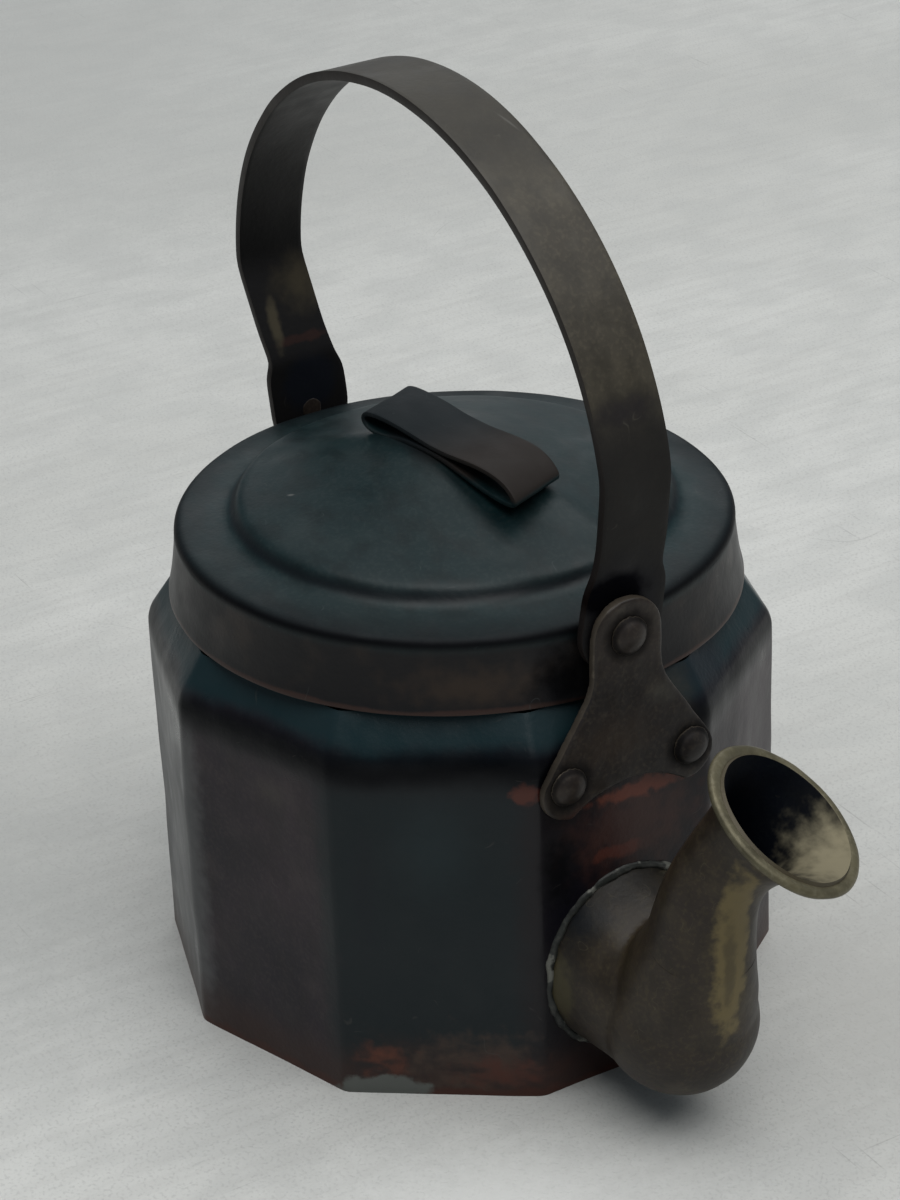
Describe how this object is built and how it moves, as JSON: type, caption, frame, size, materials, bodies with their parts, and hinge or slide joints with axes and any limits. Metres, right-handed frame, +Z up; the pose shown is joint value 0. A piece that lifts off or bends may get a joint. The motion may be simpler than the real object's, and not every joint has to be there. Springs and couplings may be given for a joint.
{
  "type": "copper teapot",
  "caption": "Faceted copper teapot with a lift-off cap lid, a strap loop on it, an upright swinging strap bail on riveted ears and a bulbous elbow spout with a flared mouth.",
  "frame": {"origin": "on the table, under the pot's upright axis", "axes": "+X towards the spout facet, along the bail's pivot line; +Z up; +Y completes the right-handed frame"},
  "size_m": [0.1817, 0.1298, 0.1929],
  "materials": {
    "pot_copper": "dark patinated copper sheet, satin",
    "lid_copper": "dark teal-grey patinated copper sheet, satin",
    "ear_copper": "brown patinated copper plate, satin",
    "rivet_copper": "brown patinated rivet copper",
    "bail_strap": "grey-brown patinated strap, satin",
    "spout_bronze": "olive-brown patinated metal, satin",
    "lip_brass": "pale rubbed brass, satin",
    "solder": "dull grey solder"
  },
  "bodies": {
    "pot": {"body_wall": "pot_copper", "body_bottom": "pot_copper", "neck_ring": "pot_copper", "spout_collar": "solder", "spout_elbow": "spout_bronze", "spout_tube": "spout_bronze", "spout_lip": "lip_brass", "front_ear": "ear_copper", "rear_ear": "ear_copper", "front_left_rivet": "rivet_copper", "front_right_rivet": "rivet_copper", "front_pivot_rivet": "rivet_copper", "rear_left_rivet": "rivet_copper", "rear_right_rivet": "rivet_copper", "rear_pivot_rivet": "rivet_copper"},
    "bail": {"bail": "bail_strap"},
    "lid": {"lid_top": "lid_copper", "lid_skirt": "lid_copper", "lid_strap": "lid_copper"}
  },
  "joints": [
    {"name": "bail_swing", "type": "hinge", "parent": "pot", "child": "bail", "pos_m": [0, 0, 0.1006], "axis": [1, 0, 0], "range_deg": [-100, 100]},
    {"name": "lid_lift", "type": "slide", "parent": "pot", "child": "lid", "axis": [0, 0, 1], "range_m": [0, 0.05]}
  ]
}
